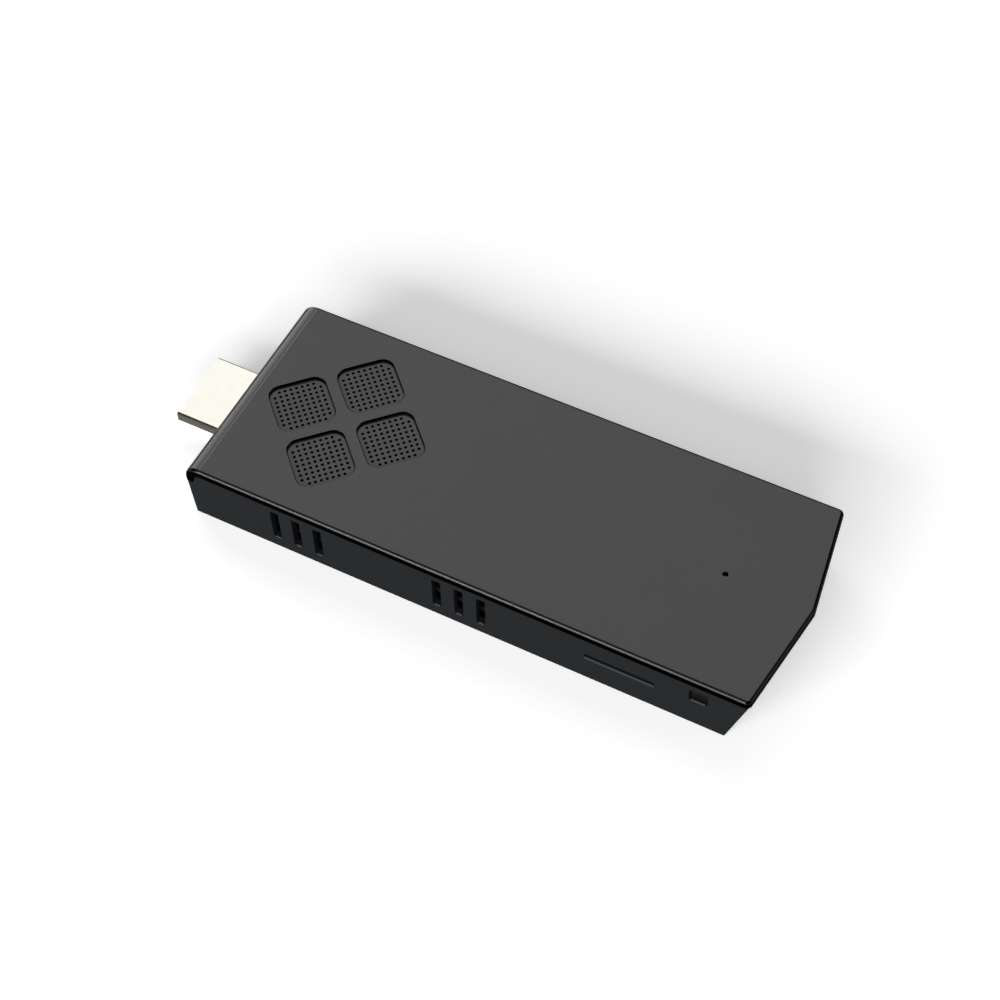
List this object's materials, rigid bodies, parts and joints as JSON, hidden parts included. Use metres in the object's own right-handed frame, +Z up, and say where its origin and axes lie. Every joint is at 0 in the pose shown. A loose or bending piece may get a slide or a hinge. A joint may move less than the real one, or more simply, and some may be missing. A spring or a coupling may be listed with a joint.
{
  "type": "stick computer",
  "caption": "Flat stick computer with a video plug at one end, a perforated fan grille on its cover, side vents, a card slot, a sprung button and ports along the far side.",
  "frame": {"origin": "centre of the base, under the middle of the whole length from the plug's front to the chevron's point", "axes": "+X from the plug towards the chevron end, +Y towards the side with the ports, +Z up through the grille"},
  "size_m": [0.1138, 0.04, 0.0131],
  "materials": {
    "cover_plastic": "satin charcoal, gloss at the edges",
    "shell_plastic": "fine matte black",
    "button_plastic": "matte black",
    "plug_metal": "pale gold plating",
    "contact_gold": "gold plating",
    "port_metal": "bright tinned sheet",
    "screw_steel": "zinc plate",
    "black_insulator": "glass-filled black",
    "blue_insulator": "blue",
    "white_insulator": "white",
    "board_laminate": "black solder mask",
    "chip_epoxy": "moulded epoxy",
    "coil_ferrite": "ferrite grey",
    "capacitor_case": "moulded tantalum",
    "sink_aluminium": "extruded",
    "pad_silicone": "soft pad",
    "fan_plastic": "moulded black",
    "bearing_bronze": "sintered bronze",
    "stator_copper": "enamelled windings",
    "magnet_black": "bonded magnet",
    "lead_red": "insulated wire",
    "lead_black": "coaxial lead",
    "antenna_foil": "copper foil on film",
    "lamp_white": "moulded lamp",
    "clear_acrylic": "polished"
  },
  "bodies": {
    "stick": {"top_cover": "cover_plastic", "lower_shell": "shell_plastic", "case_screws": "screw_steel", "main_board": "board_laminate", "board_screws": "screw_steel", "board_spacers": "contact_gold", "cooler_screws": "screw_steel", "plug_shell": "plug_metal", "plug_core": "black_insulator", "plug_contacts": "contact_gold", "data_port_1_shell": "port_metal", "data_port_1_core": "blue_insulator", "data_port_1_contacts": "contact_gold", "data_port_2_shell": "port_metal", "data_port_2_core": "white_insulator", "data_port_2_contacts": "contact_gold", "power_port_shell": "port_metal", "power_port_core": "black_insulator", "power_port_contacts": "contact_gold", "card_socket_base": "black_insulator", "card_socket_lid": "port_metal", "card_socket_contacts": "contact_gold", "power_switch": "port_metal", "status_lamp": "lamp_white", "light_pipe": "clear_acrylic", "processor": "chip_epoxy", "thermal_pad": "pad_silicone", "heat_sink": "sink_aluminium", "fan_frame": "fan_plastic", "fan_lid": "fan_plastic", "fan_bearing": "bearing_bronze", "fan_stator": "stator_copper", "fan_lead": "lead_red", "fan_connector": "white_insulator", "memory_chips": "chip_epoxy", "storage_chip": "chip_epoxy", "power_chip": "chip_epoxy", "power_inductors": "coil_ferrite", "power_capacitors": "capacitor_case", "firmware_chip": "chip_epoxy", "clock_crystal": "port_metal", "wireless_module": "board_laminate", "wireless_shield": "port_metal", "antenna_strip": "antenna_foil", "antenna_lead": "lead_black"},
    "rotor": {"fan_rotor": "fan_plastic", "fan_shaft": "port_metal", "fan_magnet": "magnet_black"},
    "button": {"power_button": "button_plastic", "switch_plunger": "black_insulator"}
  },
  "joints": [
    {"name": "fan_spin", "type": "hinge", "parent": "stick", "child": "rotor", "pos_m": [-0.02675, 0, 0.0088], "axis": [0, 0, 1], "continuous": true},
    {"name": "button_press", "type": "slide", "parent": "stick", "child": "button", "axis": [0, 1, 0], "range_m": [0, 0.0003], "stiffness_N_per_m": 200, "springref_m": -0.001}
  ]
}
